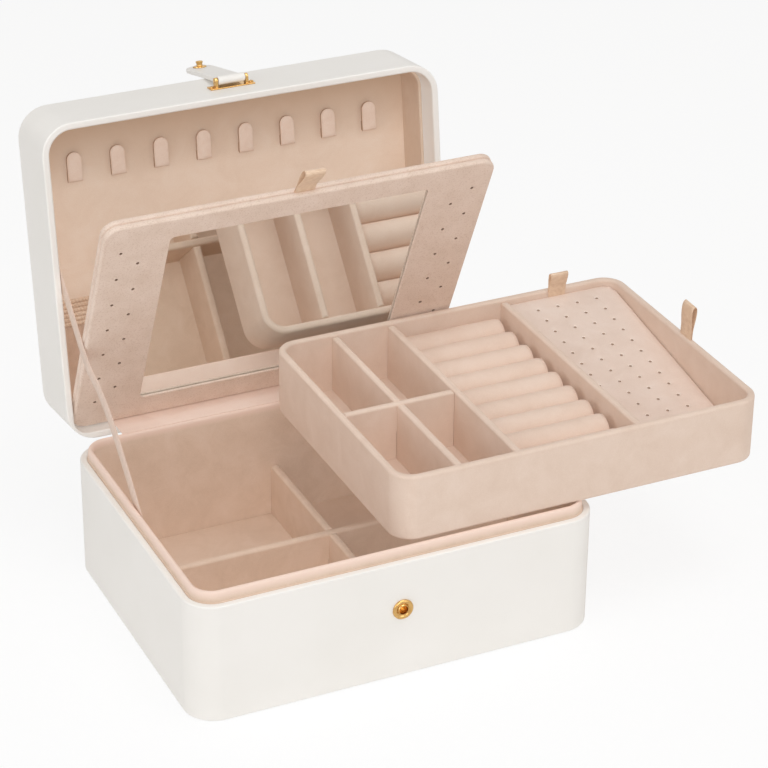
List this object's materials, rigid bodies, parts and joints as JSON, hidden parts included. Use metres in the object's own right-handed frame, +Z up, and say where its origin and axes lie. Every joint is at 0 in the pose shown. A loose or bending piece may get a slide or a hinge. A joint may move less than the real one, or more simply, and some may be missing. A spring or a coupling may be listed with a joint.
{
  "type": "vanity box with mirror",
  "caption": "Box with round corners, a hinged lid holding a tilting mirror panel, and a lift-out tray with ring rolls, compartments and an earring pad.",
  "frame": {"origin": "centre of the underside of the base", "axes": "+X to the right, -Y to the front where the clasp is, +Z up; the lid is open as pictured"},
  "size_m": [0.359, 0.3015, 0.2736],
  "materials": {
    "white_leatherette": "satin",
    "pink_suede": "matte",
    "shirred_elastic": "matte",
    "satin_ribbon": "satin",
    "gold_brass": "polished",
    "mirror_glass": "polished",
    "steel_pin": "satin"
  },
  "bodies": {
    "base": {"base_shell": "white_leatherette", "base_bottom": "white_leatherette", "base_lining": "pink_suede", "base_floor_pad": "pink_suede", "base_divider_long": "pink_suede", "base_divider_cross": "pink_suede", "snap_socket": "gold_brass", "snap_washer": "gold_brass", "hinge_leaf_base_left": "gold_brass", "hinge_leaf_base_right": "gold_brass", "hinge_pin_left": "gold_brass", "hinge_pin_right": "gold_brass", "hinge_screws_base": "gold_brass", "hinge_cover": "pink_suede", "stay_ribbon": "satin_ribbon"},
    "lid": {"lid_shell": "white_leatherette", "lid_lining": "pink_suede", "lid_panel": "pink_suede", "necklace_hooks": "pink_suede", "pouch": "pink_suede", "pouch_elastic": "shirred_elastic", "clasp_plate": "gold_brass", "clasp_bar": "gold_brass", "clasp_screws": "gold_brass", "hinge_leaf_lid_left": "gold_brass", "hinge_leaf_lid_right": "gold_brass", "hinge_screws_lid": "gold_brass"},
    "strap": {"strap": "white_leatherette", "snap_stud": "gold_brass", "snap_cap": "gold_brass"},
    "mirror": {"mirror_frame": "pink_suede", "mirror_back": "pink_suede", "mirror_glass": "mirror_glass", "mirror_pins": "steel_pin", "mirror_tab": "satin_ribbon"},
    "tray": {"tray_walls": "pink_suede", "tray_bottom": "pink_suede", "tray_floor": "pink_suede", "tray_divider_a": "pink_suede", "tray_divider_b": "pink_suede", "tray_divider_c": "pink_suede", "tray_divider_cross": "pink_suede", "ring_rolls": "pink_suede", "earring_pad": "pink_suede", "pad_ledges": "pink_suede", "tray_tab_back": "satin_ribbon", "tray_tab_right": "satin_ribbon"}
  },
  "joints": [
    {"name": "lid_hinge", "type": "hinge", "parent": "base", "child": "lid", "pos_m": [0, 0.099, 0.0749], "axis": [1, 0, 0], "range_deg": [0, 97.5], "deforming": ["stay_ribbon", "hinge_cover"]},
    {"name": "mirror_tilt", "type": "hinge", "parent": "lid", "child": "mirror", "pos_m": [0, 0.11169, 0.08392], "axis": [1, 0, 0], "range_deg": [-32.41, 0], "deforming": ["mirror_tab"]},
    {"name": "clasp_strap", "type": "hinge", "parent": "lid", "child": "strap", "pos_m": [0, 0.1454, 0.27102], "axis": [1, 0, 0], "range_deg": [0, 186.8]},
    {"name": "tray_slide", "type": "slide", "parent": "base", "child": "tray", "axis": [0, -1, 0], "range_m": [0, 0.2551]}
  ],
  "couplings": [
    {"joint": "mirror_tilt", "follows": "lid_hinge", "ratio": -0.33231},
    {"joint": "tray_slide", "follows": "lid_hinge", "m_per_rad": 0.14985}
  ]
}
